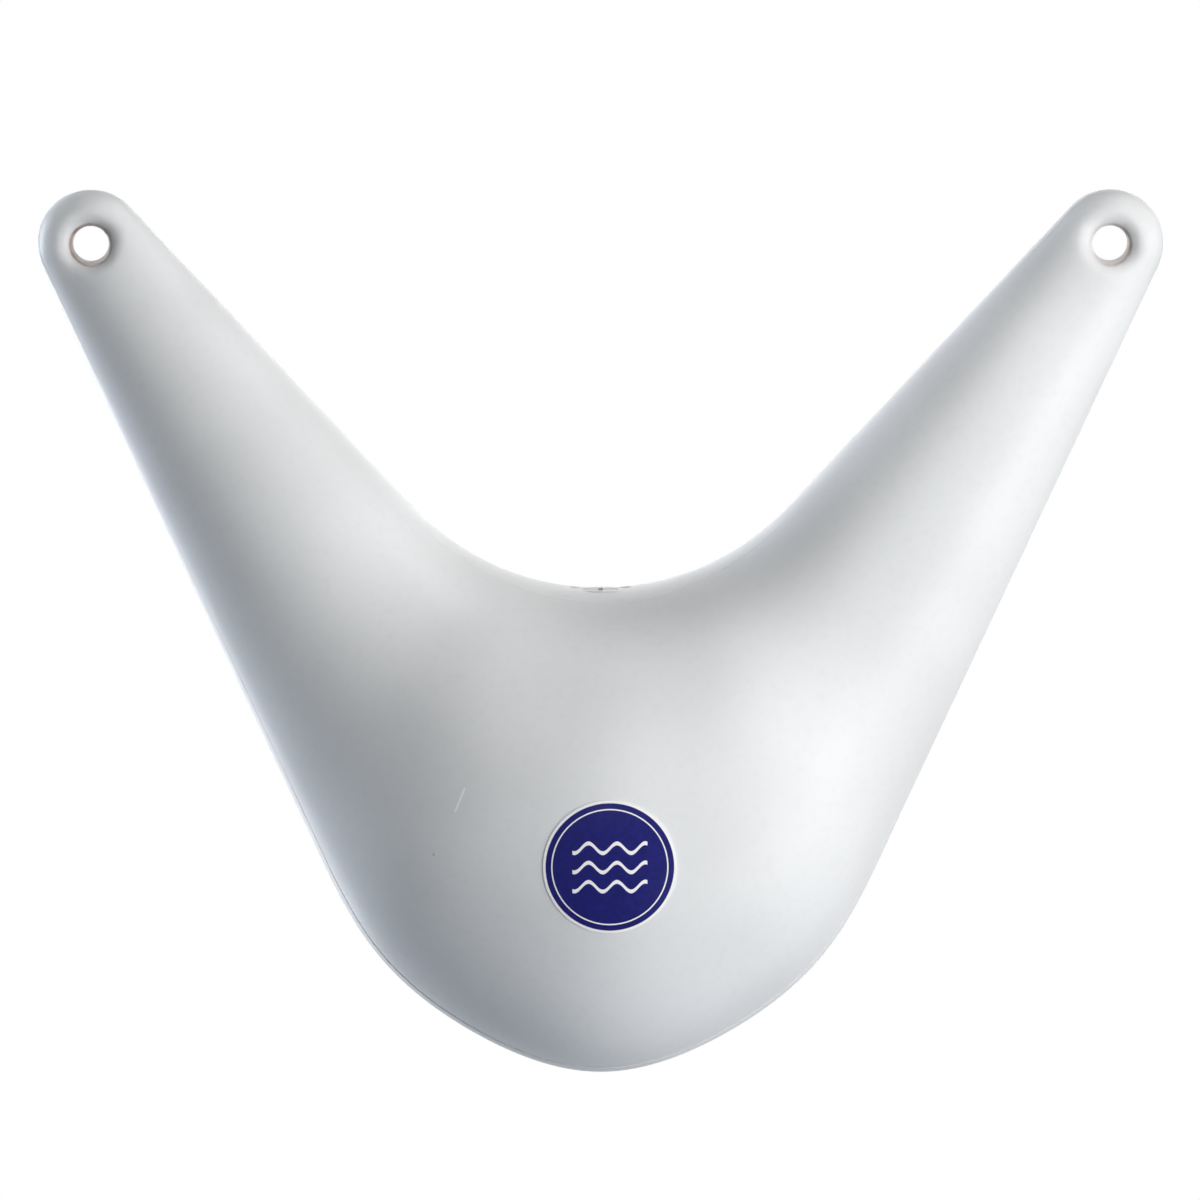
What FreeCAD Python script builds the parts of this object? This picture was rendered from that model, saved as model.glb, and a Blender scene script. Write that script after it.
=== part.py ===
import FreeCAD, Part
import math
import os

import Sketcher
from FreeCAD import Placement, Rotation, Vector

# Bow fender: a hollow V-shaped soft moulding that hangs over a boat's stem
# from two rope eyes, with an inflation valve in its crotch and a round label
# on its belly. Millimetres. The origin is midway between the two eyes: +X
# runs along the line of the eyes, +Z is up and the front looks along -Y.

os.makedirs("parts", exist_ok=True)
doc = FreeCAD.newDocument("BowFender")

# Driving dimensions: alias, value, meaning
SIZES = (
    ("eye_spacing", 398.4, "distance between the two rope eyes"),
    ("eye_radius", 7.0, "bore of a rope eye"),
    ("eye_wall", 8.0, "straight wall in the middle of a rope eye"),
    ("eye_taper", 7.0, "opening of a rope eye from that wall out, degrees"),
    ("mouth_radius", 5.0, "rounding of a rope eye's mouths"),
    ("lug_radius", 21.0, "round end of an arm, seen from the front"),
    ("lug_thickness", 28.0, "round end of an arm, front to back"),
    ("outer_lean", 25.07, "outer edge of an arm, degrees from upright"),
    ("inner_lean", 43.2, "inner edge of an arm, degrees from upright"),
    ("crotch_radius", 100.0, "round of the crotch between the arms"),
    ("chin_cut", 150.0, "rounding of the point of the V, straight down"),
    ("jowl_cut", 45.0, "rounding of the point of the V, at the next section out"),
    ("cheek_cut", 5.0, "rounding of the point of the V, at the section after that"),
    ("belly_flatness", 0.84, "thickness of the belly over its height"),
    ("arm_flatness", 0.87, "thickness of an arm over its width"),
    ("fullness", 0.6, "fullness of the oval sections: 0.55 is an ellipse, more is boxier"),
    ("wall", 4.0, "skin of the moulding"),
    ("solid_end", 42.0, "solid length of an arm's inner edge below its round end"),
    ("dome_length", 26.0, "rounded end of the air space in an arm"),
    ("boss_radius", 17.0, "thickening that carries the valve"),
    ("boss_depth", 19.0, "thickening that carries the valve, below the crotch"),
    ("flange_radius", 12.0, "valve body's flange"),
    ("flange_height", 5.0, "valve body's flange"),
    ("flange_sink", 0.3, "valve body's top, below the crotch"),
    ("shank_radius", 8.5, "valve body's shank"),
    ("shank_length", 11.0, "valve body's shank, below its flange"),
    ("head_radius", 7.0, "valve plug's head"),
    ("head_height", 2.2, "valve plug's head"),
    ("stem_radius", 4.5, "valve plug's stem"),
    ("stem_length", 12.0, "valve plug's stem, below its head"),
    ("slot_width", 1.8, "coin slot in the valve plug's head"),
    ("slot_depth", 1.2, "coin slot in the valve plug's head"),
    ("edge_break", 0.6, "chamfer on the valve's edges"),
    ("ring_section", 0.8, "radius of the seal ring's section"),
    ("fit_gap", 0.1, "clearance round each of the valve's pieces"),
    ("label_radius", 25.9, "round label"),
    ("label_film", 0.4, "thickness of the round label"),
    ("label_side", 2.8, "label's middle, to the right of the centre line"),
    ("label_drop", 237.5, "label's middle, below the eyes"),
)
sheet = doc.addObject("Spreadsheet::Sheet", "Dims")
for row, (alias, value, meaning) in enumerate(SIZES, start=1):
    sheet.set(f"A{row}", alias)
    sheet.set(f"B{row}", str(value))
    sheet.set(f"C{row}", meaning)
    sheet.setAlias(f"B{row}", alias)
doc.recompute()

# Lines and centres that follow from them. In the plane of the V each arm has
# two straight edges, both tangent to its round end, and the inner ones are
# tangent to the crotch's arc as well. Angles are in degrees.
FORMULAS = {
    "eye_x": "Dims.eye_spacing / 2",
    "mean_lean": "(Dims.inner_lean + Dims.outer_lean) / 2",
    "crotch_z": "(Dims.crotch_radius + Dims.lug_radius - eye_x * cos(Dims.inner_lean * 1 deg))"
                " / sin(Dims.inner_lean * 1 deg)",
    "crotch_top": "crotch_z - Dims.crotch_radius",
    "edge_gap": "Dims.lug_radius + eye_x * cos(Dims.outer_lean * 1 deg)"
                " + crotch_z * sin(Dims.outer_lean * 1 deg)",
    "arm_length": "(eye_x - (Dims.lug_radius + Dims.crotch_radius) * cos(Dims.inner_lean * 1 deg))"
                  " / sin(Dims.inner_lean * 1 deg)",
    "lug_flatness": "Dims.lug_thickness / (2 * Dims.lug_radius)",
    "belly_height": "edge_gap / sin(Dims.outer_lean * 1 deg) - Dims.chin_cut - Dims.crotch_radius",
    "mouth_depth": "Dims.eye_wall / 2 + Dims.lug_thickness",
    "mouth_edge": "Dims.eye_radius + Dims.lug_thickness * tan(Dims.eye_taper * 1 deg)",
    "flange_top": "crotch_top - Dims.flange_sink",
    "flange_floor": "flange_top - Dims.flange_height",
    "shank_end": "flange_floor - Dims.shank_length",
    "head_floor": "flange_top - Dims.head_height",
    "ring_floor": "head_floor - 2 * Dims.ring_section",
    "boss_top": "crotch_top - Dims.wall / 2",
    "boss_end": "crotch_top - Dims.boss_depth",
}
form = doc.addObject("App::VarSet", "Form")
for name, formula in FORMULAS.items():
    form.addProperty("App::PropertyFloat", name)
    form.setExpression(name, formula)
doc.recompute()


def dim(alias):
    """A driving dimension's value."""
    return float(getattr(sheet, alias))


OUTER = math.radians(dim("outer_lean"))
INNER = math.radians(dim("inner_lean"))
MEAN = math.radians(form.mean_lean)
LUG = dim("lug_radius")

# Where the sections of the moulding are taken: in the fan round the crotch's
# centre, as shares of the way from straight down to an arm, with the rounding
# of the V's point; along an arm, as shares of its straight inner edge; round
# an arm's end, in degrees past the eye; and in the domes of the hollow
FAN = math.pi / 2 - INNER
FAN_SHARES = (0, 0.214, 0.428, 0.642, 0.833)
FAN_CUTS = dict(zip(FAN_SHARES, ("chin_cut", "jowl_cut", "cheek_cut")))
ARM_SHARES = (1.0, 0.8, 0.6, 0.42, 0.27, 0.15, 0.06, 0.0)
TIP_TURNS = (14, 34, 54, 72, 86)
DOME_SHARES = (1.0, 0.6, 0.28, 0.08)
SECTION_GAP = 0.05

# How quickly an arm's end takes on the flatness of its round end
LUG_BLEND = 4


class Station:
    """An oval section: its middle, the lean of its plane, width and thickness."""

    def __init__(self, middle, lean, across, through):
        self.middle = middle
        self.lean = lean
        self.across = across
        self.through = through

    def mirrored(self):
        middle = Vector(-self.middle.x, 0, self.middle.z)
        return Station(middle, math.pi - self.lean, self.across, self.through)

    def inset(self, wall, scale=1.0):
        across = (self.across - 2 * wall) * scale
        return Station(self.middle, self.lean, across, (self.through - 2 * wall) * scale)

    def control_points(self, side):
        """The half oval on the side -1 (front) or +1 (back), from its outer edge in."""
        wide = Vector(math.cos(self.lean), 0, -math.sin(self.lean)) * (self.across / 2)
        deep = Vector(0, side * self.through / 2, 0)
        full = dim("fullness")
        turns = ((1, 0), (1, full), (full, 1), (0, 1), (-full, 1), (-1, full), (-1, 0))
        return [self.middle + wide * u + deep * v for u, v in turns]


def fan_station(share):
    """A section along a ray from the crotch's centre, at a share of the fan from straight down."""
    angle = share * FAN
    cut = dim(FAN_CUTS[share]) if share in FAN_CUTS else 0
    across = form.edge_gap / math.sin(angle + OUTER) - cut - dim("crotch_radius")
    reach = dim("crotch_radius") + across / 2
    middle = Vector(reach * math.sin(angle), 0, form.crotch_z - reach * math.cos(angle))
    belly = dim("belly_flatness")
    flatness = belly + (dim("arm_flatness") - belly) * share
    return Station(middle, math.pi / 2 - angle, across, across * flatness)


def arm_station(share):
    """A section across an arm, at a share of its straight inner edge from the top."""
    down = share * form.arm_length
    lean = MEAN + share * (INNER - MEAN)
    spread = INNER - OUTER
    across = (LUG * (1 + math.cos(spread)) + down * math.sin(spread)) / math.cos(lean - OUTER)
    middle = Vector(
        form.eye_x - LUG * math.cos(INNER) - down * math.sin(INNER) + across / 2 * math.cos(lean),
        0,
        LUG * math.sin(INNER) - down * math.cos(INNER) - across / 2 * math.sin(lean),
    )
    full = dim("arm_flatness")
    flatness = full - (full - form.lug_flatness) * (1 - share) ** LUG_BLEND
    return Station(middle, lean, across, across * flatness)


def tip_station(turn):
    """A section across an arm's round end, turn degrees past the middle of the eye."""
    angle = math.radians(turn)
    along = Vector(math.sin(MEAN), 0, math.cos(MEAN)) * (LUG * math.sin(angle))
    across = 2 * LUG * math.cos(angle)
    return Station(Vector(form.eye_x, 0, 0) + along, MEAN, across, across * form.lug_flatness)


def both_sides(half):
    """Stations from the left end to the right one, from those of the right half."""
    return [station.mirrored() for station in reversed(half[1:])] + half


def skin_face(stations, side):
    """One smooth face through the half ovals of all stations."""
    columns = [station.control_points(side) for station in stations]
    marks = [0.0]
    for near, far in zip(columns, columns[1:]):
        steps = [near_point.distanceToPoint(far_point) for near_point, far_point in zip(near, far)]
        marks.append(marks[-1] + sum(steps) / len(steps))
    rows = []
    for points in zip(*columns):
        row = Part.BSplineCurve()
        row.interpolate(Points=list(points), Parameters=marks)
        rows.append(row)
    surface = Part.BSplineSurface()
    surface.buildFromPolesMultsKnots(
        [row.getPoles() for row in rows],
        [4, 3, 4],
        rows[0].getMultiplicities(),
        [0, 0.5, 1],
        rows[0].getKnots(),
        False,
        False,
        3,
        rows[0].Degree,
    )
    return surface.toShape()


def end_face(front, back, station):
    """The flat face that closes the skin at its first or last station."""
    edges = [
        min(face.Edges, key=lambda edge: edge.CenterOfMass.distanceToPoint(station.middle))
        for face in (front, back)
    ]
    return Part.Face(Part.Wire(edges))


def closed_form(stations):
    """A solid inside the smooth skin through the stations."""
    front = skin_face(stations, -1)
    back = skin_face(stations, 1)
    ends = [end_face(front, back, stations[0]), end_face(front, back, stations[-1])]
    shell = Part.makeShell([front, back] + ends)
    shell.sewShape()
    solid = Part.makeSolid(shell)
    if solid.Volume < 0:
        solid.reverse()
    return solid


def outer_stations():
    half = [fan_station(share) for share in FAN_SHARES]
    half += [arm_station(share) for share in ARM_SHARES]
    half += [tip_station(turn) for turn in TIP_TURNS]
    return both_sides(half)


def air_stations():
    """Sections of the hollow, which ends in a dome in each arm and leaves the eyes solid."""
    wall = dim("wall")
    dome_start = (dim("solid_end") + dim("dome_length")) / form.arm_length
    half = [fan_station(share).inset(wall) for share in FAN_SHARES]
    clear = [share for share in ARM_SHARES if share > dome_start + SECTION_GAP]
    half += [arm_station(share).inset(wall) for share in clear]
    for share in DOME_SHARES:
        down = dim("solid_end") + dim("dome_length") * share
        scale = math.sqrt(1 - (1 - share) ** 2)
        half.append(arm_station(down / form.arm_length).inset(wall, scale))
    return both_sides(half)


def origin_plane(body, role):
    return next(feature for feature in body.Origin.OriginFeatures if feature.Role == role)


def new_sketch(body, name, plane):
    sketch = body.newObject("Sketcher::SketchObject", name)
    sketch.AttachmentSupport = [(origin_plane(body, plane), "")]
    sketch.MapMode = "FlatFace"
    return sketch


def profile(sketch, corners):
    """A closed outline of straight lines, with each corner's two places as formulas."""
    places = [[float(sheet.evalExpression(formula)) for formula in corner] for corner in corners]
    points = [Vector(across, up, 0) for across, up in places]
    for start, end in zip(points, points[1:] + points[:1]):
        sketch.addGeometry(Part.LineSegment(start, end))
    for line, formulas in enumerate(corners):
        after = (line + 1) % len(corners)
        sketch.addConstraint(Sketcher.Constraint("Coincident", line, 2, after, 1))
        for kind, place, formula in zip(("DistanceX", "DistanceY"), places[line], formulas):
            index = sketch.addConstraint(Sketcher.Constraint(kind, -1, 1, line, 1, place))
            sketch.setExpression(f"Constraints[{index}]", formula)


def turned(body, feature_type, name, corners):
    """A revolved feature about the Z axis."""
    sketch = new_sketch(body, f"{name}Profile", "XZ_Plane")
    profile(sketch, corners)
    feature = body.newObject(feature_type, name)
    feature.Profile = sketch
    feature.ReferenceAxis = (sketch, ["V_Axis"])
    feature.Angle = 360
    doc.recompute()
    return feature


# The fender's moulding
outer = doc.addObject("Part::Feature", "OuterForm")
outer.Shape = closed_form(outer_stations())
air = doc.addObject("Part::Feature", "AirSpace")
air.Shape = closed_form(air_stations())
hollow = doc.addObject("Part::Cut", "Hollow")
hollow.Base = outer
hollow.Tool = air
boss = doc.addObject("Part::Cylinder", "ValveBoss")
boss.setExpression("Radius", "Dims.boss_radius")
boss.setExpression("Height", "Form.boss_top - Form.boss_end")
boss.setExpression("Placement.Base.z", "Form.boss_end")
moulding = doc.addObject("Part::Fuse", "Moulding")
moulding.Base = hollow
moulding.Tool = boss
doc.recompute()

fender = doc.addObject("PartDesign::Body", "FenderBody")
fender.Label = "fender_body"
fender.BaseFeature = moulding
doc.recompute()
turned(
    fender,
    "PartDesign::Groove",
    "ValveSeat",
    (
        ("0", "Form.crotch_top + Dims.flange_height"),
        ("Dims.flange_radius + Dims.fit_gap", "Form.crotch_top + Dims.flange_height"),
        ("Dims.flange_radius + Dims.fit_gap", "Form.flange_floor"),
        ("Dims.shank_radius + Dims.fit_gap", "Form.flange_floor"),
        ("Dims.shank_radius + Dims.fit_gap", "Form.boss_end - Dims.wall"),
        ("0", "Form.boss_end - Dims.wall"),
    ),
)


# The rope eyes: a straight bore that opens a little to either face
EYE_CUT = (
    ("0", "-Form.mouth_depth"),
    ("Form.mouth_edge", "-Form.mouth_depth"),
    ("Dims.eye_radius", "-Dims.eye_wall / 2"),
    ("Dims.eye_radius", "Dims.eye_wall / 2"),
    ("Form.mouth_edge", "Form.mouth_depth"),
    ("0", "Form.mouth_depth"),
)
for side, name in ((-1, "LeftEye"), (1, "RightEye")):
    eye_sketch = new_sketch(fender, f"{name}Profile", "XY_Plane")
    eye_sketch.setExpression("AttachmentOffset.Base.x", f"{side} * Form.eye_x")
    profile(eye_sketch, EYE_CUT)
    eye = fender.newObject("PartDesign::Groove", name)
    eye.Profile = eye_sketch
    eye.ReferenceAxis = (eye_sketch, ["V_Axis"])
    eye.Angle = 360
    doc.recompute()
bored = fender.Tip


def on_rim(edge):
    """Whether an edge is where the skin meets the taper of a rope eye."""
    faces = bored.Shape.ancestorsOfType(edge, Part.Face)
    on_skin = any(isinstance(face.Surface, Part.BSplineSurface) for face in faces)
    return on_skin and any(isinstance(face.Surface, Part.Cone) for face in faces)


rims = [f"Edge{index}" for index, edge in enumerate(bored.Shape.Edges, start=1) if on_rim(edge)]
rounding = fender.newObject("PartDesign::Fillet", "EyeMouths")
rounding.Base = (bored, rims)
rounding.setExpression("Radius", "Dims.mouth_radius")
doc.recompute()

# The valve: an insert in the boss, a screw plug and the ring between them
valve = doc.addObject("PartDesign::Body", "ValveBody")
valve.Label = "valve_body"
turned(
    valve,
    "PartDesign::Revolution",
    "Insert",
    (
        ("Dims.head_radius + Dims.fit_gap", "Form.flange_top"),
        ("Dims.flange_radius - Dims.edge_break", "Form.flange_top"),
        ("Dims.flange_radius", "Form.flange_top - Dims.edge_break"),
        ("Dims.flange_radius", "Form.flange_floor"),
        ("Dims.shank_radius", "Form.flange_floor"),
        ("Dims.shank_radius", "Form.shank_end"),
        ("Dims.stem_radius + Dims.fit_gap", "Form.shank_end"),
        ("Dims.stem_radius + Dims.fit_gap", "Form.ring_floor"),
        ("Dims.head_radius + Dims.fit_gap", "Form.ring_floor"),
    ),
)

plug = doc.addObject("PartDesign::Body", "ValvePlug")
plug.Label = "valve_plug"
turned(
    plug,
    "PartDesign::Revolution",
    "Screw",
    (
        ("0", "Form.flange_top"),
        ("Dims.head_radius - Dims.edge_break", "Form.flange_top"),
        ("Dims.head_radius", "Form.flange_top - Dims.edge_break"),
        ("Dims.head_radius", "Form.head_floor"),
        ("Dims.stem_radius", "Form.head_floor"),
        ("Dims.stem_radius", "Form.head_floor - Dims.stem_length + Dims.edge_break"),
        ("Dims.stem_radius - Dims.edge_break", "Form.head_floor - Dims.stem_length"),
        ("0", "Form.head_floor - Dims.stem_length"),
    ),
)
slot_sketch = new_sketch(plug, "SlotProfile", "XZ_Plane")
profile(
    slot_sketch,
    (
        ("-Dims.slot_width / 2", "Form.flange_top - Dims.slot_depth"),
        ("Dims.slot_width / 2", "Form.flange_top - Dims.slot_depth"),
        ("Dims.slot_width / 2", "Form.flange_top + Dims.slot_depth"),
        ("-Dims.slot_width / 2", "Form.flange_top + Dims.slot_depth"),
    ),
)
slot = plug.newObject("PartDesign::Pocket", "CoinSlot")
slot.Profile = slot_sketch
slot.Type = "ThroughAll"
slot.Midplane = True

seal = doc.addObject("Part::Torus", "ValveSeal")
seal.Label = "valve_seal"
seal.setExpression("Radius1", "(Dims.stem_radius + Dims.fit_gap + Dims.head_radius + Dims.fit_gap) / 2")
seal.setExpression("Radius2", "Dims.ring_section")
seal.setExpression("Placement.Base.z", "Form.ring_floor + Dims.ring_section")
doc.recompute()


# The label: a disc of film that lies on the belly's front and follows its curve
film = doc.addObject("Part::Feature", "FilmForm")
film.Shape = closed_form([station.inset(-dim("label_film")) for station in outer_stations()])
punch = doc.addObject("Part::Cylinder", "LabelPunch")
punch.Placement = Placement(Vector(0, 0, 0), Rotation(Vector(1, 0, 0), 90))
punch.setExpression("Radius", "Dims.label_radius")
punch.setExpression("Height", "Form.belly_height")
punch.setExpression("Placement.Base.x", "Dims.label_side")
punch.setExpression("Placement.Base.z", "-Dims.label_drop")
disc = doc.addObject("Part::Common", "LabelBlank")
disc.Base = film
disc.Tool = punch
label = doc.addObject("Part::Cut", "RoundLabel")
label.Label = "round_label"
label.Base = disc
label.Tool = outer
doc.recompute()

# Check every object, then write the pieces
failed = [item.Name for item in doc.Objects if {"Invalid", "Error"} & set(item.State)]
if failed:
    raise SystemExit(f"these objects failed: {failed}")
pieces = (fender, valve, plug, seal, label)
for piece in pieces:
    if piece.Shape.isNull() or not piece.Shape.isValid() or not piece.Shape.Solids:
        raise SystemExit(f"{piece.Label} has no valid solid")
    piece.Shape.exportStep(f"parts/{piece.Label}.step")
    print(piece.Label, len(piece.Shape.Solids), round(piece.Shape.Volume, 1))
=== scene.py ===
import math

import bmesh
import bpy
import numpy as np
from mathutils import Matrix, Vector


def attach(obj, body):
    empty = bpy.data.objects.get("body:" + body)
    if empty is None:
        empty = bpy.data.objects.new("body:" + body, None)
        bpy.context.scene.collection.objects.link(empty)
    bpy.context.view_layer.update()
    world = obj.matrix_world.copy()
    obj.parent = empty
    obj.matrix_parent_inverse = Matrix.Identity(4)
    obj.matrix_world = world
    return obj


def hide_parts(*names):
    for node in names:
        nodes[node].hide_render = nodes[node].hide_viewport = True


# Bow fender in soft white PVC. Metres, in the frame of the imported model: the
# origin is midway between the rope eyes, +Z is up and the front looks along -Y.

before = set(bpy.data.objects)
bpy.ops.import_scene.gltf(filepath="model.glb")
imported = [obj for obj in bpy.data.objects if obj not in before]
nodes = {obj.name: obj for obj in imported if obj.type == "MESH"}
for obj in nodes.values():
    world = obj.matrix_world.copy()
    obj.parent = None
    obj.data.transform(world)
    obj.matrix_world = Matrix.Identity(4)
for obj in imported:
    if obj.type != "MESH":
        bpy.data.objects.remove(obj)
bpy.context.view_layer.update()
scene = bpy.context.scene

MM = 0.001

# Camera: nearly square on, a little above and to the left of the front
VIEW_WIDTH = 470.2 * MM
VIEW_CENTRE = Vector((-0.2 * MM, 0, -140.0 * MM))
CAMERA_DISTANCE = 5.5
CAMERA_AZIMUTH = -0.6
CAMERA_ELEVATION = 4.5
CAMERA_REACH = 100.0
SENSOR = 36.0

# Lights and floor. Azimuths are from the front, towards the right. The camera
# and reflections see a white backdrop, and the rest of the light a faint sky.
AIM = Vector((0, 0, -0.14))
SOFTBOXES = {
    # name: (azimuth, elevation, distance), size, power, colour
    "side": ((60.0, 0.0, 2.3), (1.5, 1.2), 26.5, (1.0, 0.99, 0.975)),
    "side_high": ((60.0, 25.0, 2.3), (1.0, 0.9), 2.7, (1.0, 0.985, 0.965)),
    "low": ((44.0, -24.0, 1.6), (0.6, 0.4), 6.2, (1.0, 0.985, 0.965)),
    "near_front": ((28.0, 24.0, 2.3), (1.0, 0.9), 9.8, (0.985, 0.99, 0.975)),
    "front": ((0.0, 20.0, 2.3), (1.0, 0.9), 6.6, (0.93, 0.98, 1.0)),
    "rim": ((-112.0, 8.0, 1.6), (0.6, 1.0), 22.0, (0.87, 0.925, 1.0)),
    "edge": ((-145.0, -12.0, 1.6), (0.6, 0.8), 2.5, (0.95, 0.97, 1.0)),
    "back": ((180.0, 12.0, 2.2), (2.6, 1.6), 13.0, (1.0, 1.0, 1.0)),
    "high": ((60.0, 65.0, 2.0), (1.0, 1.0), 8.5, (1.0, 0.985, 0.965)),
    "top": ((0.0, 80.0, 1.8), (1.2, 1.2), 1.6, (0.97, 0.985, 1.0)),
}
WHITE = (1.0, 1.0, 1.0)
SKY = (0.86, 0.93, 1.0)
SKY_STRENGTH = 0.01
FLOOR_HEIGHT = -1.1
FLOOR_RADIUS = 2.6
FLOOR_SIDES = 96
FLOOR_SEEN = (0.8, 0.8, 0.8)
FLOOR_BOUNCE = (0.26, 0.3, 0.35)  # its shade for the light that it throws back
FLOOR_ROUGHNESS = 0.9
FLOOR_PALENESS = 0.45  # the backdrop's share in the floor's middle
FLOOR_FADE = (0.3, 0.97)  # where that share grows and is full, of the radius

# The moulding's sizes in millimetres, as in its CAD model. Leans are from
# upright, and a flatness is depth over width.
EYE_X = 199.2
EYE_RADIUS = 7.0
EYE_HALF_WALL = 4.0
EYE_TAPER = math.radians(7.0)
MOUTH_RADIUS = 5.0
LUG_RADIUS = 21.0
LUG_FLATNESS = 28.0 / 42.0
OUTER_LEAN = math.radians(25.07)
INNER_LEAN = math.radians(43.2)
MEAN_LEAN = (OUTER_LEAN + INNER_LEAN) / 2
CROTCH_RADIUS = 100.0
BELLY_FLATNESS = 0.84
ARM_FLATNESS = 0.87
FULLNESS = 0.6  # of the sections' ovals, where an ellipse has 0.55
LUG_BLEND = 4  # the higher, the later the arm flattens into the lug

# Where the sections are: shares of the fan's turn, with the cut off the point
# of the V there, shares of the arm's length, and degrees round the lug
FAN_CUTS = {0: 150.0, 0.214: 45.0, 0.428: 5.0, 0.642: 0.0, 0.833: 0.0}
ARM_SHARES = (1.0, 0.8, 0.6, 0.42, 0.27, 0.15, 0.06, 0.0)
TIP_TURNS = (14, 34, 54, 72, 86)

# The valve's seat: the radius of the flange's and of the shank's hole, the
# heights of the crotch's edge and of both floors, and the tool that cuts them
SEAT_RADIUS = 12.1
SHANK_RADIUS = 8.6
CROTCH_TOP = -135.367
SEAT_FLOOR = CROTCH_TOP - 5.3
SHANK_FLOOR = CROTCH_TOP - 19.0
SEAT_TOOL_TOP = CROTCH_TOP + 10.0
SEAT_SIDES = 72

# The parting line: a low bead on the front, at this share of the half depth. It
# is highest on the belly and falls with a power of the moulding's width.
SEAM_DEPTH = 0.3
SEAM_HALF_WIDTH = 1.0
SEAM_HEIGHTS = {1: 0.44, -1: 0.15}  # at the outer and the inner edge
SEAM_FALL = 2
SEAM_SINK = 0.03
SEAM_FOOT = 0.6
SEAM_COLUMNS = 7

# The round label: its middle, the inside of its white rim, and its print of
# a thin ring and three plain waves
LABEL_PLACE = (2.8, -237.5)
LABEL_FIELD = 24.9
LABEL_RING = (22.2, 22.7)
WAVE_HEIGHTS = (7.5, 0.0, -7.5)
WAVE_SWING = 1.9
WAVE_LENGTH = 11.0
WAVE_REACH = 14.5
WAVE_HALF_WIDTH = 0.75
PRINT_SOFTNESS = 0.12

# How finely the moulding is meshed: rows along an arm, columns on a quarter of
# the oval, and how many times closer the rows are that the eye is fitted to
ALONG = 150
QUARTER = 30
CLOSE = 4

# Round the eye: half the length and half the columns of the grid that it takes
# the place of, and the rings on the skin, in the rounded mouth and on the taper
EYE_REACH = 15.5
EYE_COLUMNS = 15
SKIN_RINGS = 4
MOUTH_RINGS = 9
TAPER_RINGS = 4

# Samples of the skin along a ray from the eye, their margin, and of the oval
RAY_SAMPLES = 80
RAY_MARGIN = 1.0
OVAL_SAMPLES = 400

# Points this close are one, in a new mesh and in a cut one
WELD_GAP = 0.001
CUT_GAP = 0.01
SHARP_ANGLE = math.radians(40)

# Soft PVC. Patches of its mottling are this much darker, or this much grey.
PVC_WHITE = (0.803, 0.813, 0.825)
# The bead's white is a little paler than the body's: a painted highlight along the parting line
SEAM_HIGHLIGHT_WHITE = (0.813, 0.823, 0.835)
BROAD_SHADE = 0.94
FINE_GREY = (0.6, 0.61, 0.62)
FINE_SHARE = 0.1
PVC_ROUGHNESS = (0.34, 0.46)
PVC_SPECULAR = 0.25

# Light seeps into the solid lugs, from none to full between two distances from
# the eye's middle
GLOW_FADE = (22.0, 14.0)
GLOW_WEIGHT = 0.95
GLOW_RADIUS = (1.0, 0.97, 0.94)
GLOW_SCALE = 0.01

# Brown grime round each rope eye, and grey painted shade in each eye's rounded mouth, fading
# likewise.
# Both are stronger on the left eye, and the grime is on the outer side of each.
GRIME_BROWN = (0.23, 0.105, 0.052)
GRIME_FADE = (8.8, 7.9)
GRIME_PATCHES = (0.65, 1.0)
OUTER_TILT = -0.7
OUTER_FADE = (-9.0, 5.0)
OUTER_SHARES = (0.35, 0.95)
LEFT_FADE = (60.0, -60.0)
LEFT_SHARES = (0.5, 1.0)
# Painted shade: a grey ring darkening each eye's rounded mouth
PAINTED_SHADE_GREY = (0.45, 0.42, 0.4)
PAINTED_SHADE_FADE = (13.0, 8.0)
PAINTED_SHADE_SHARE = 0.22

# A scuff and a speck on the belly, each between two places in the plane of the V
SCUFF = ((-53.4, -207.6), (-57.0, -216.6))
SCUFF_WHITE = (0.98, 0.98, 0.98)
SCUFF_SHARE = 0.9
SCUFF_ROUGHNESS = 0.2
SPECK = ((-65.4, -233.4), (-65.4, -234.0))
SPECK_GREY = (0.12, 0.12, 0.12)
SPECK_SHARE = 0.3
MARK_HALF_WIDTH = 0.35
FRONT_FADE = (5.0, -5.0)

# The valve's plastics, with darker patches, and the label's inks
VALVE_WHITE = (0.72, 0.72, 0.71)
VALVE_GREY = (0.5, 0.51, 0.52)
SEAL_BLACK = (0.03, 0.03, 0.03)
PLASTIC_SHADE = 0.85
ROUGHNESS_SPREAD = 0.15
NAVY = (0.004, 0.005, 0.12)
PALER_NAVY = (0.007, 0.008, 0.155)
PRINT_WHITE = (0.98, 0.95, 0.97)
FILM_ROUGHNESS = (0.25, 0.4)
FILM_SPECULAR = 0.2


def nodes_of(name):
    """A new material, its node tree and its shader."""
    material = bpy.data.materials.new(name)
    material.use_nodes = True
    tree = material.node_tree
    shader = tree.nodes["Principled BSDF"]
    return material, tree, shader


def dress(piece, material):
    """Gives a piece one material."""
    piece.data.materials.clear()
    piece.data.materials.append(material)


def add_node(tree, kind, settings=None, **inputs):
    """A node, with its settings and with values or links for its inputs.

    An input's name has _ for a space, and i1 is the input with the number 1.
    """
    node = tree.nodes.new(kind)
    for name, value in (settings or {}).items():
        setattr(node, name, value)
    for name, value in inputs.items():
        key = int(name[1:]) if name[1:].isdigit() else name.replace("_", " ")
        socket = node.inputs[key]
        if isinstance(value, bpy.types.NodeSocket):
            tree.links.new(value, socket)
        else:
            socket.default_value = value
    return node


def calc(tree, operation, *values):
    """The output of a Math node."""
    inputs = {f"i{index}": value for index, value in enumerate(values)}
    return add_node(tree, "ShaderNodeMath", {"operation": operation}, **inputs).outputs[0]


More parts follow.
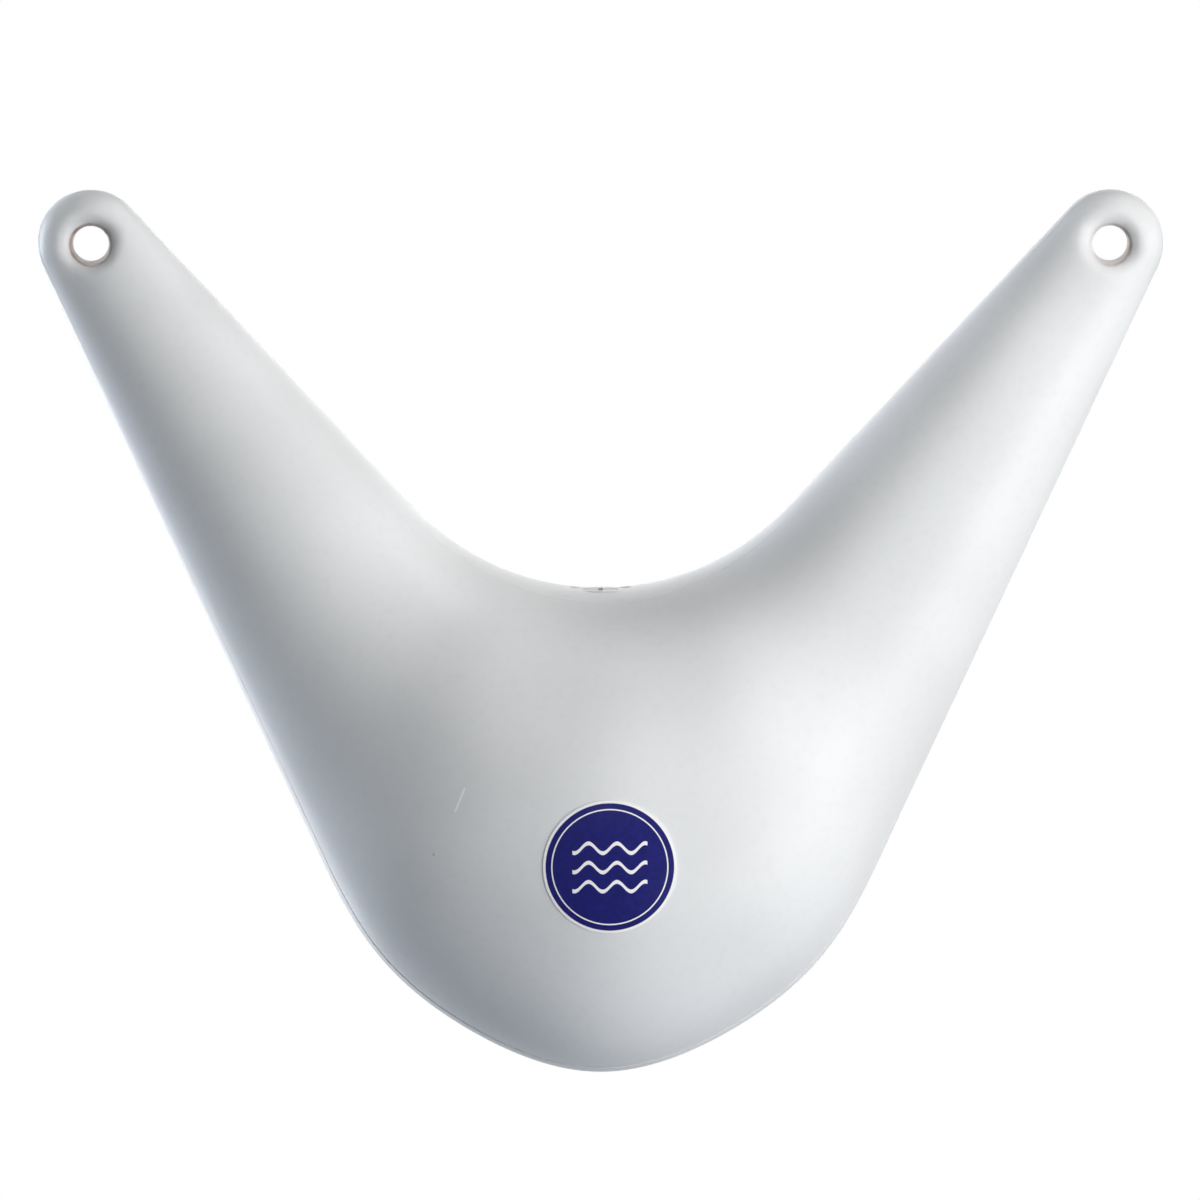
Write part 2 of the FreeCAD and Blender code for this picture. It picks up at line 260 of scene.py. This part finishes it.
def product(tree, first, *others):
    """The product of several values."""
    for other in others:
        first = calc(tree, "MULTIPLY", first, other)
    return first


def span(tree, share, low, high):
    """The value at a share of the way from low to high."""
    return calc(tree, "MULTIPLY_ADD", share, high - low, low)


def hypotenuse(tree, across, up):
    """The length of a step across and up."""
    return calc(tree, "SQRT", calc(tree, "MULTIPLY_ADD", across, across, product(tree, up, up)))


def ramp(tree, value, low, high):
    """A smooth step of a value: 0 at low and 1 at high."""
    node = add_node(
        tree,
        "ShaderNodeMapRange",
        {"interpolation_type": "SMOOTHSTEP"},
        Value=value,
        From_Min=low,
        From_Max=high,
    )
    return node.outputs["Result"]


def opaque(color):
    """A colour with its alpha, or a link to one as it is."""
    return color if isinstance(color, bpy.types.NodeSocket) else (*color, 1.0)


def shaded(color, share):
    """A darker colour."""
    return tuple(channel * share for channel in color)


def blend(tree, factor, first, second):
    """A mix of two colours."""
    first, second = opaque(first), opaque(second)
    node = add_node(tree, "ShaderNodeMix", {"data_type": "RGBA"}, i0=factor, i6=first, i7=second)
    return node.outputs[2]


def noise(tree, place, size, detail=2.0):
    """Noise with features of about a size in millimetres, from 0 to 1."""
    node = add_node(tree, "ShaderNodeTexNoise", Vector=place, Scale=1 / (size * MM), Detail=detail)
    return node.outputs[0]


def patches(tree, place, size, start, full, detail=2.0):
    """Patches of noise: 0 below the level where they start, and 1 above where they are full."""
    return ramp(tree, noise(tree, place, size, detail), start, full)


def object_place(tree):
    """Object coordinates: as a vector in metres, and as x, y and z in millimetres."""
    place = add_node(tree, "ShaderNodeTexCoord").outputs["Object"]
    operation = {"operation": "SCALE"}
    scaled = add_node(tree, "ShaderNodeVectorMath", operation, Vector=place, Scale=1 / MM)
    parts = add_node(tree, "ShaderNodeSeparateXYZ", Vector=scaled.outputs[0])
    return place, *parts.outputs


def bump(tree, relief, height, under=None):
    """A bump from a relief of 0 to 1 and its height in millimetres, on top of another one."""
    inputs = {"Height": relief, "Distance": height * MM}
    if under:
        inputs["Normal"] = under
    return add_node(tree, "ShaderNodeBump", **inputs).outputs["Normal"]


def stroke(tree, x, z, start, end, half_width):
    """1 on a short straight mark between two places in the plane of the V, and 0 off it."""
    run = Vector(end) - Vector(start)
    turn = math.atan2(run.y, run.x)
    cos, sin = math.cos(turn), math.sin(turn)
    dx = calc(tree, "SUBTRACT", x, (start[0] + end[0]) / 2)
    dz = calc(tree, "SUBTRACT", z, (start[1] + end[1]) / 2)
    along = calc(tree, "MULTIPLY_ADD", dx, cos, product(tree, dz, sin))
    aside = calc(tree, "MULTIPLY_ADD", dx, -sin, product(tree, dz, cos))
    past_end = calc(tree, "SUBTRACT", calc(tree, "ABSOLUTE", along), run.length / 2)
    away = hypotenuse(tree, calc(tree, "MAXIMUM", past_end, 0.0), aside)
    return ramp(tree, away, half_width * 1.5, half_width * 0.5)


def front_mark(tree, x, y, z, ends):
    """A stroke between two places, on the front alone."""
    front = ramp(tree, y, *FRONT_FADE)
    return product(tree, stroke(tree, x, z, *ends, MARK_HALF_WIDTH), front)


def toward(azimuth, elevation):
    """The direction at an azimuth from the front and an elevation, in degrees."""
    turn, rise = math.radians(azimuth), math.radians(elevation)
    out = math.cos(rise)
    return Vector((math.sin(turn) * out, -math.cos(turn) * out, math.sin(rise)))


def aim(thing, target, azimuth, elevation, distance):
    """Adds a camera or light to the scene, at a distance from the target that it looks at."""
    away = toward(azimuth, elevation)
    thing.location = target + away * distance
    thing.rotation_euler = (-away).to_track_quat("-Z", "Y").to_euler()
    scene.collection.objects.link(thing)


def add_camera():
    """The photograph's camera, framed by its field's width at the object."""
    data = bpy.data.cameras.new("camera")
    data.sensor_width = SENSOR
    data.lens = SENSOR * CAMERA_DISTANCE / VIEW_WIDTH
    data.clip_end = CAMERA_REACH
    camera = bpy.data.objects.new("camera", data)
    aim(camera, VIEW_CENTRE, CAMERA_AZIMUTH, CAMERA_ELEVATION, CAMERA_DISTANCE)
    scene.camera = camera


def add_softbox(name, place, size, power, color):
    """An area light that looks at the object from an azimuth, elevation and distance."""
    data = bpy.data.lights.new(name, "AREA")
    data.shape = "RECTANGLE"
    data.size, data.size_y = size
    data.energy = power
    data.color = color
    light = bpy.data.objects.new(name, data)
    light.visible_camera = False
    aim(light, AIM, *place)


def backdrop_rays(tree):
    """1 for rays that see the white backdrop: the camera's, reflections and refractions."""
    path = add_node(tree, "ShaderNodeLightPath").outputs
    reflected = calc(tree, "MAXIMUM", path["Is Glossy Ray"], path["Is Transmission Ray"])
    return calc(tree, "MAXIMUM", path["Is Camera Ray"], reflected)


def add_world():
    """A white backdrop that only shows, and a faint sky that lights the object."""
    world = bpy.data.worlds.new("studio")
    scene.world = world
    world.use_nodes = True
    tree = world.node_tree
    sky = tree.nodes["Background"]
    sky.inputs["Color"].default_value = opaque(SKY)
    sky.inputs["Strength"].default_value = SKY_STRENGTH
    white = add_node(tree, "ShaderNodeBackground", Color=opaque(WHITE), Strength=1.0)
    mix = add_node(
        tree,
        "ShaderNodeMixShader",
        i0=backdrop_rays(tree),
        i1=sky.outputs["Background"],
        i2=white.outputs["Background"],
    )
    tree.links.new(mix.outputs["Shader"], tree.nodes["World Output"].inputs["Surface"])


def add_floor():
    """A plain pale floor under the hung fender, whose rim fades into the white backdrop.

    Its shade is deeper for the light that it throws back on the fender.
    """
    form = bmesh.new()
    bmesh.ops.create_circle(form, cap_ends=True, segments=FLOOR_SIDES, radius=FLOOR_RADIUS)
    mesh = bpy.data.meshes.new("floor")
    form.to_mesh(mesh)
    form.free()
    floor = bpy.data.objects.new("floor", mesh)
    floor.location = (0, 0, FLOOR_HEIGHT)
    scene.collection.objects.link(floor)

    material, tree, shader = nodes_of("pale_floor")
    seen = backdrop_rays(tree)
    shade = blend(tree, seen, FLOOR_BOUNCE, FLOOR_SEEN)
    tree.links.new(shade, shader.inputs["Base Color"])
    shader.inputs["Roughness"].default_value = FLOOR_ROUGHNESS
    place = add_node(tree, "ShaderNodeTexCoord").outputs["Object"]
    away = add_node(tree, "ShaderNodeVectorMath", {"operation": "LENGTH"}, Vector=place)
    fade = ramp(tree, away.outputs["Value"], *(FLOOR_RADIUS * share for share in FLOOR_FADE))
    fade = span(tree, fade, FLOOR_PALENESS, 1.0)
    white = add_node(tree, "ShaderNodeEmission", Strength=1.0)
    mix = add_node(
        tree,
        "ShaderNodeMixShader",
        i0=product(tree, fade, seen),
        i1=shader.outputs["BSDF"],
        i2=white.outputs["Emission"],
    )
    tree.links.new(mix.outputs["Shader"], tree.nodes["Material Output"].inputs["Surface"])
    dress(floor, material)


# The moulding's skin. A section is five numbers: the place of its middle in the
# plane of the V (x, z), its half width as a vector there (x, z), towards the
# outer edge, and its half depth.


def section(middle, lean, width, flatness):
    """A section from its middle, the lean of the arm there, its width, and depth over width."""
    half = width / 2
    return (*middle, half * math.cos(lean), -half * math.sin(lean), half * flatness)


def fan_sections():
    """Sections along rays from the crotch's centre, from straight down to the arm."""
    reach = CROTCH_RADIUS + LUG_RADIUS
    centre = (reach - EYE_X * math.cos(INNER_LEAN)) / math.sin(INNER_LEAN)
    gap = LUG_RADIUS + EYE_X * math.cos(OUTER_LEAN) + centre * math.sin(OUTER_LEAN)
    for share, cut in FAN_CUTS.items():
        angle = share * (math.pi / 2 - INNER_LEAN)
        width = gap / math.sin(angle + OUTER_LEAN) - cut - CROTCH_RADIUS
        out = CROTCH_RADIUS + width / 2
        middle = (out * math.sin(angle), centre - out * math.cos(angle))
        flatness = BELLY_FLATNESS + (ARM_FLATNESS - BELLY_FLATNESS) * share
        yield section(middle, math.pi / 2 - angle, width, flatness)


def arm_sections():
    """Sections across the straight part of the arm, from the fan to the eye."""
    spread = INNER_LEAN - OUTER_LEAN
    length = (EYE_X - (LUG_RADIUS + CROTCH_RADIUS) * math.cos(INNER_LEAN)) / math.sin(INNER_LEAN)
    for share in ARM_SHARES:
        down = share * length
        lean = MEAN_LEAN + share * (INNER_LEAN - MEAN_LEAN)
        width = LUG_RADIUS * (1 + math.cos(spread)) + down * math.sin(spread)
        width /= math.cos(lean - OUTER_LEAN)
        edge_x = EYE_X - LUG_RADIUS * math.cos(INNER_LEAN) - down * math.sin(INNER_LEAN)
        edge_z = LUG_RADIUS * math.sin(INNER_LEAN) - down * math.cos(INNER_LEAN)
        middle = (edge_x + width / 2 * math.cos(lean), edge_z - width / 2 * math.sin(lean))
        flatness = ARM_FLATNESS - (ARM_FLATNESS - LUG_FLATNESS) * (1 - share) ** LUG_BLEND
        yield section(middle, lean, width, flatness)


def tip_sections():
    """Sections across the arm's round end, past the eye."""
    for turn in map(math.radians, TIP_TURNS):
        out = LUG_RADIUS * math.sin(turn)
        middle = (EYE_X + out * math.sin(MEAN_LEAN), out * math.cos(MEAN_LEAN))
        yield section(middle, MEAN_LEAN, 2 * LUG_RADIUS * math.cos(turn), LUG_FLATNESS)


def oval(count):
    """The front half of the unit oval, from its outer edge (1, 0) to its inner edge (-1, 0)."""
    t = np.linspace(0, 1, count + 1)
    ends = ((1 - t) ** 3 + 3 * t * (1 - t) ** 2, 3 * t**2 * (1 - t) + t**3)
    falling = ends[0] + FULLNESS * 3 * t**2 * (1 - t)
    rising = ends[1] + FULLNESS * 3 * t * (1 - t) ** 2
    wide = np.concatenate((falling, -rising[1:]))
    deep = np.concatenate((rising, falling[1:]))
    return wide, deep


def spacing(rows):
    """Mean distance from each section to the next, over the corners of their ovals' halves."""
    outer = ((1, 0), (1, FULLNESS), (FULLNESS, 1))
    inner = ((-FULLNESS, 1), (-1, FULLNESS), (-1, 0))
    corners = (*outer, (0, 1), *inner)
    places = np.array([
        np.column_stack((rows[:, :2] + rows[:, 2:4] * wide, rows[:, 4] * deep))
        for wide, deep in corners
    ])
    return np.linalg.norm(np.diff(places, axis=1), axis=2).mean(axis=0)


def smooth_rows(rows, count):
    """Evenly spaced values of the smooth curve through all rows: a natural cubic spline."""
    gaps = spacing(rows)
    marks = np.concatenate(([0], np.cumsum(gaps)))
    size = len(rows)
    matrix = np.eye(size)
    bends = np.zeros_like(rows)
    for k in range(1, size - 1):
        matrix[k, k - 1 : k + 2] = gaps[k - 1], 2 * (gaps[k - 1] + gaps[k]), gaps[k]
        bends[k] = 6 * ((rows[k + 1] - rows[k]) / gaps[k] - (rows[k] - rows[k - 1]) / gaps[k - 1])
    bends = np.linalg.solve(matrix, bends)
    at = np.linspace(0, marks[-1], count)
    k = np.clip(np.searchsorted(marks, at) - 1, 0, size - 2)
    gap = gaps[k][:, None]
    after = (at - marks[k])[:, None] / gap
    before = 1 - after
    return (
        before * rows[k]
        + after * rows[k + 1]
        + ((before**3 - before) * bends[k] + (after**3 - after) * bends[k + 1]) * gap**2 / 6
    )


def skin_rows(count):
    """Close sections from the middle of the V to the tip of the right arm."""
    half = np.array([*fan_sections(), *arm_sections(), *tip_sections()])
    left = half[:0:-1] * (-1, 1, -1, 1, 1)
    return smooth_rows(np.vstack((left, half)), 2 * count + 1)[count:]


def half_depth(rows, x, z):
    """Half the moulding's thickness at places near the right eye."""
    middle_x, middle_z, wide_x, wide_z, deep = rows.T
    past = wide_x * (z[..., None] - middle_z) - wide_z * (x[..., None] - middle_x)
    k = np.minimum((past > 0).sum(axis=-1), len(rows) - 1) - 1
    before = np.take_along_axis(past, k[..., None], -1)
    after = np.take_along_axis(past, k[..., None] + 1, -1)
    row = rows[k] + (rows[k + 1] - rows[k]) * before / (before - after)
    middle_x, middle_z, wide_x, wide_z, deep = np.moveaxis(row, -1, 0)
    out = (x - middle_x) * wide_x + (z - middle_z) * wide_z
    out /= wide_x**2 + wide_z**2
    wide, high = oval(OVAL_SAMPLES)
    return deep * np.interp(-out, -wide, high)


def eye_rings(rows, rim):
    """Rings of points from a closed rim on the skin into the mouth of the right eye."""
    x, z = rim[:, 0] - EYE_X, rim[:, 2]
    angle, reach = np.arctan2(z, x), np.hypot(x, z)
    radii = np.linspace(EYE_RADIUS + RAY_MARGIN, reach.max() + RAY_MARGIN, RAY_SAMPLES)
    across, up = np.cos(angle)[:, None], np.sin(angle)[:, None]
    depth = half_depth(rows, EYE_X + radii * across, radii * up)

    # A ball of the mouth's rounding that touches the skin and the eye's taper
    slope = np.gradient(depth, radii, axis=1)
    length = np.hypot(slope, 1)
    ball_out = radii + MOUTH_RADIUS * slope / length
    ball_up = depth - MOUTH_RADIUS / length
    wall = EYE_RADIUS + (ball_up - EYE_HALF_WALL) * math.tan(EYE_TAPER)
    clear = (ball_out - wall) * math.cos(EYE_TAPER) - MOUTH_RADIUS

    def along(values, at):
        return np.array([np.interp(a, radii, row) for a, row in zip(at, values)])

    touch = np.array([np.interp(0, row, radii) for row in clear])
    out, up_to = along(ball_out, touch), along(ball_up, touch)
    start = np.arctan(along(slope, touch))
    rings = []
    for share in np.linspace(0, 1, SKIN_RINGS + 1)[1:]:
        radius = reach + (touch - reach) * share
        rings.append((radius, along(depth, radius)))
    for share in np.linspace(0, 1, MOUTH_RINGS + 1)[1:]:
        turn = start + (math.pi / 2 - EYE_TAPER - start) * share
        rings.append((out - MOUTH_RADIUS * np.sin(turn), up_to + MOUTH_RADIUS * np.cos(turn)))
    edge_out, edge_up = rings[-1]
    for share in np.linspace(0, 1, TAPER_RINGS + 1)[1:]:
        radius = edge_out + (EYE_RADIUS - edge_out) * share
        rings.append((radius, edge_up + (EYE_HALF_WALL - edge_up) * share))
    rings.append((np.full_like(angle, EYE_RADIUS), np.zeros_like(angle)))
    return [
        np.column_stack((EYE_X + radius * np.cos(angle), -high, radius * np.sin(angle)))
        for radius, high in rings
    ]


def mirrored(points, faces, axis):
    """The points and faces with their mirror image across the plane at zero of an axis."""
    image = points.copy()
    image[:, axis] *= -1
    copies = [[corner + len(points) for corner in reversed(face)] for face in faces]
    return np.vstack((points, image)), faces + copies


def skin_quarter():
    """Points and faces of the skin's front right quarter, with the rope eye in it."""
    rows = skin_rows(ALONG)
    wide, deep = oval(QUARTER)
    grid = np.zeros((len(rows), len(wide), 3))
    grid[..., 0] = rows[:, None, 0] + rows[:, None, 2] * wide
    grid[..., 1] = -rows[:, None, 4] * deep
    grid[..., 2] = rows[:, None, 1] + rows[:, None, 3] * wide

    # The block of the grid that the eye takes the place of
    past_eye = (rows[:, 0] - EYE_X) * math.sin(MEAN_LEAN) + rows[:, 1] * math.cos(MEAN_LEAN)
    first = int(np.argmax(past_eye > -EYE_REACH))
    last = int(np.argmax(past_eye > EYE_REACH))
    low, high = QUARTER - EYE_COLUMNS, QUARTER + EYE_COLUMNS

    columns = len(wide)
    faces = []
    for i in range(len(rows) - 1):
        for j in range(columns - 1):
            if first <= i < last and low <= j < high:
                continue
            corner = i * columns + j
            faces.append([corner, corner + columns, corner + columns + 1, corner + 1])
    tip = (len(rows) - 1) * columns
    faces.append(list(range(tip + columns - 1, tip - 1, -1)))

    rim = [(i, low) for i in range(first, last)]
    rim += [(last, j) for j in range(low, high)]
    rim += [(i, high) for i in range(last, first, -1)]
    rim += [(first, j) for j in range(high, low, -1)]
    points = [grid.reshape(-1, 3)]
    outer = [i * columns + j for i, j in rim]
    count = grid.shape[0] * columns
    for ring in eye_rings(skin_rows(ALONG * CLOSE), np.array([grid[place] for place in rim])):
        points.append(ring)
        inner = list(range(count, count + len(ring)))
        count += len(ring)
        for a in range(len(ring)):
            b = (a + 1) % len(ring)
            faces.append([outer[a], outer[b], inner[b], inner[a]])
        outer = inner
    return np.vstack(points), faces


def seam_half():
    """Points and faces of the parting line's bead, round the right half of the moulding.

    Its section is closed by a foot under the skin.
    """
    rows = skin_rows(ALONG)
    wide, deep = oval(OVAL_SAMPLES)
    at = int(np.argmax(deep > SEAM_DEPTH))
    lean = (wide[at + 1] - wide[at - 1], deep[at + 1] - deep[at - 1])
    half_width = np.hypot(rows[:, 2], rows[:, 3])
    across = np.column_stack((rows[:, 2], np.zeros(len(rows)), rows[:, 3])) / half_width[:, None]
    middle = np.column_stack((rows[:, 0], np.zeros(len(rows)), rows[:, 1]))
    front = np.array((0, -1, 0))
    lines = []
    for edge in (1, -1):
        run = np.column_stack((half_width * lean[0], rows[:, 4] * lean[1]))
        run /= np.hypot(*run.T)[:, None]
        tangent = edge * run[:, :1] * across + run[:, 1:] * front
        normal = edge * run[:, 1:] * across - run[:, :1] * front
        place = middle + (edge * wide[at] * half_width)[:, None] * across
        place += (deep[at] * rows[:, 4])[:, None] * front
        steps = np.linspace(-1, 1, SEAM_COLUMNS)[:, None, None]
        height = SEAM_HEIGHTS[edge] * (half_width / half_width.max())[:, None] ** SEAM_FALL
        crown = height * (1 - steps**2) - SEAM_SINK
        foot = -SEAM_FOOT * (1 - steps[-2:0:-1] ** 2) - SEAM_SINK
        steps = np.concatenate((steps, steps[-2:0:-1]))
        rise = np.concatenate((crown, foot * np.ones_like(crown[1:-1])))
        line = place + SEAM_HALF_WIDTH * steps * tangent + rise * normal
        lines.append(np.moveaxis(line, 0, 1)[::edge])
    points = np.concatenate(lines)
    round_it = points.shape[1]
    faces = []
    for i in range(len(points) - 1):
        for a in range(round_it):
            b = (a + 1) % round_it
            here, there = i * round_it, (i + 1) * round_it
            faces.append([here + a, there + a, there + b, here + b])
    return points.reshape(-1, 3), faces


def turned_form(corners, count):
    """Points and faces of a solid turned about the Z axis, from (radius, height) corners."""
    turns = np.arange(count) * 2 * math.pi / count
    points = [
        np.column_stack((radius * np.cos(turns), radius * np.sin(turns), np.full(count, height)))
        for radius, height in corners
    ]
    last = count * (len(corners) - 1)
    faces = [list(range(count)), list(range(last + count - 1, last - 1, -1))]
    for ring in range(len(corners) - 1):
        for a in range(count):
            b = (a + 1) % count
            top, under = ring * count, (ring + 1) * count
            faces.append([top + a, under + a, under + b, top + b])
    return np.vstack(points), faces


def weld(mesh, gap):
    """Joins points of a mesh that lie within a gap in millimetres."""
    form = bmesh.new()
    form.from_mesh(mesh)
    bmesh.ops.remove_doubles(form, verts=form.verts, dist=gap * MM)
    form.to_mesh(mesh)
    form.free()


def mesh_piece(name, points, faces):
    """An object from points in millimetres and faces, with doubles welded and smooth shading."""
    mesh = bpy.data.meshes.new(name)
    mesh.from_pydata((points * MM).tolist(), [], faces)
    weld(mesh, WELD_GAP)
    mesh.shade_smooth()
    piece = bpy.data.objects.new(name, mesh)
    scene.collection.objects.link(piece)
    return piece


def cut(piece, tool):
    """Cuts the tool out of a piece and removes the tool."""
    modifier = piece.modifiers.new("cut", "BOOLEAN")
    modifier.operation = "DIFFERENCE"
    modifier.solver = "EXACT"
    modifier.object = tool
    bpy.context.view_layer.update()
    result = piece.evaluated_get(bpy.context.evaluated_depsgraph_get())
    piece.data = bpy.data.meshes.new_from_object(result)
    piece.modifiers.clear()
    weld(piece.data, CUT_GAP)
    piece.data.set_sharp_from_angle(angle=SHARP_ANGLE)
    bpy.data.objects.remove(tool)


def soft_pvc(name, white):
    """Soft white PVC: satin, faintly mottled, with orange peel, marks of use and painted shade in
    the rope eyes' mouths.
    """
    material, tree, shader = nodes_of(name)
    place, x, y, z = object_place(tree)

    # Broad and fine mottling
    broad = patches(tree, place, size=60.0, start=0.35, full=0.7, detail=1.0)
    color = blend(tree, broad, white, shaded(white, BROAD_SHADE))
    fine = patches(tree, place, size=3.5, start=0.45, full=0.8, detail=1.0)
    color = blend(tree, product(tree, fine, FINE_SHARE), color, FINE_GREY)

    # Patchy grime in the rope eyes, and painted shade greying their mouths
    out = calc(tree, "SUBTRACT", calc(tree, "ABSOLUTE", x), EYE_X)
    away = hypotenuse(tree, out, z)
    patchy = patches(tree, place, size=4.0, start=0.3, full=0.65)
    patchy = span(tree, patchy, *GRIME_PATCHES)
    outer = ramp(tree, calc(tree, "MULTIPLY_ADD", z, OUTER_TILT, out), *OUTER_FADE)
    outer = span(tree, outer, *OUTER_SHARES)
    left = span(tree, ramp(tree, x, *LEFT_FADE), *LEFT_SHARES)
    grime = product(tree, outer, left, ramp(tree, away, *GRIME_FADE), patchy)
    color = blend(tree, grime, color, GRIME_BROWN)
    # Painted shade greys the mouths of the eyes, most on the left eye
    painted_shade = product(tree, ramp(tree, away, *PAINTED_SHADE_FADE), left, patchy, PAINTED_SHADE_SHARE)
    color = blend(tree, painted_shade, color, PAINTED_SHADE_GREY)

    # A pale scuff and a dark speck on the left of the belly's front
    scuff = front_mark(tree, x, y, z, SCUFF)
    color = blend(tree, product(tree, scuff, SCUFF_SHARE), color, SCUFF_WHITE)
    speck = front_mark(tree, x, y, z, SPECK)
    color = blend(tree, product(tree, speck, SPECK_SHARE), color, SPECK_GREY)
    tree.links.new(color, shader.inputs["Base Color"])

    # Satin gloss, duller on the scuff, and orange peel on soft waves
    rough = span(tree, noise(tree, place, size=12.0, detail=1.0), *PVC_ROUGHNESS)
    rough = calc(tree, "MULTIPLY_ADD", scuff, SCUFF_ROUGHNESS, rough)
    tree.links.new(rough, shader.inputs["Roughness"])
    waves = bump(tree, noise(tree, place, size=30.0, detail=0.0), height=0.15)
    peel = bump(tree, noise(tree, place, size=1.4, detail=0.0), height=0.012, under=waves)
    tree.links.new(peel, shader.inputs["Normal"])
    shader.inputs["Specular IOR Level"].default_value = PVC_SPECULAR

    glow = product(tree, ramp(tree, away, *GLOW_FADE), GLOW_WEIGHT)
    tree.links.new(glow, shader.inputs["Subsurface Weight"])
    shader.inputs["Subsurface Radius"].default_value = GLOW_RADIUS
    shader.inputs["Subsurface Scale"].default_value = GLOW_SCALE
    return material


def plastic(name, color, roughness):
    """Moulded hard plastic with a fine grain and a few darker patches."""
    material, tree, shader = nodes_of(name)
    place = object_place(tree)[0]
    dark = patches(tree, place, size=3.0, start=0.35, full=0.75)
    shade = blend(tree, dark, color, shaded(color, PLASTIC_SHADE))
    tree.links.new(shade, shader.inputs["Base Color"])
    rough = span(tree, noise(tree, place, size=1.0), roughness, roughness + ROUGHNESS_SPREAD)
    tree.links.new(rough, shader.inputs["Roughness"])
    grain = bump(tree, noise(tree, place, size=0.4), height=0.01)
    tree.links.new(grain, shader.inputs["Normal"])
    return material


def inside(tree, value, limit):
    """1 where a value is below a limit and 0 above, with the print's soft edge."""
    return ramp(tree, value, limit + PRINT_SOFTNESS, limit - PRINT_SOFTNESS)


def outside(tree, value, limit):
    """0 where a value is below a limit and 1 above, with the print's soft edge."""
    return ramp(tree, value, limit - PRINT_SOFTNESS, limit + PRINT_SOFTNESS)


def label_film():
    """Printed gloss film: a navy field with a white rim, a thin ring and three waves."""
    material, tree, shader = nodes_of("label_print")
    place, x, _, z = object_place(tree)
    across = calc(tree, "SUBTRACT", x, LABEL_PLACE[0])
    up = calc(tree, "SUBTRACT", z, LABEL_PLACE[1])
    out = hypotenuse(tree, across, up)
    rim = outside(tree, out, LABEL_FIELD)
    ring = product(tree, outside(tree, out, LABEL_RING[0]), inside(tree, out, LABEL_RING[1]))
    print_mask = calc(tree, "MAXIMUM", rim, ring)

    swing = calc(tree, "SINE", product(tree, across, 2 * math.pi / WAVE_LENGTH))
    swing = product(tree, swing, WAVE_SWING)
    within = inside(tree, calc(tree, "ABSOLUTE", across), WAVE_REACH)
    for height in WAVE_HEIGHTS:
        above = calc(tree, "SUBTRACT", calc(tree, "SUBTRACT", up, height), swing)
        wave = inside(tree, calc(tree, "ABSOLUTE", above), WAVE_HALF_WIDTH)
        print_mask = calc(tree, "MAXIMUM", print_mask, product(tree, wave, within))

    navy = blend(tree, patches(tree, place, size=2.5, start=0.35, full=0.7), NAVY, PALER_NAVY)
    tree.links.new(blend(tree, print_mask, navy, PRINT_WHITE), shader.inputs["Base Color"])
    rough = span(tree, noise(tree, place, size=6.0), *FILM_ROUGHNESS)
    tree.links.new(rough, shader.inputs["Roughness"])
    grain = bump(tree, noise(tree, place, size=2.0), height=0.015)
    tree.links.new(grain, shader.inputs["Normal"])
    shader.inputs["Specular IOR Level"].default_value = FILM_SPECULAR
    return material


add_camera()
add_world()
add_floor()
for name, settings in SOFTBOXES.items():
    add_softbox(name, *settings)

moulding = mesh_piece("moulding", *mirrored(*mirrored(*skin_quarter(), 1), 0))
seat = (
    (SEAT_RADIUS, SEAT_TOOL_TOP),
    (SEAT_RADIUS, SEAT_FLOOR),
    (SHANK_RADIUS, SEAT_FLOOR),
    (SHANK_RADIUS, SHANK_FLOOR),
)
cut(moulding, mesh_piece("seat", *turned_form(seat, SEAT_SIDES)))
dress(moulding, soft_pvc("soft_pvc_white", PVC_WHITE))
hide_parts("fender_body")

seam = mesh_piece("parting_line", *mirrored(*seam_half(), 0))
# Its paler white is a painted highlight on the bead
dress(seam, soft_pvc("soft_pvc_seam", SEAM_HIGHLIGHT_WHITE))
for piece in (moulding, seam):
    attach(piece, "root")

dress(nodes["valve_body"], plastic("valve_white", VALVE_WHITE, roughness=0.35))
dress(nodes["valve_plug"], plastic("valve_grey", VALVE_GREY, roughness=0.4))
dress(nodes["valve_seal"], plastic("seal_black", SEAL_BLACK, roughness=0.55))
dress(nodes["round_label"], label_film())

scene.view_settings.view_transform = "Standard"
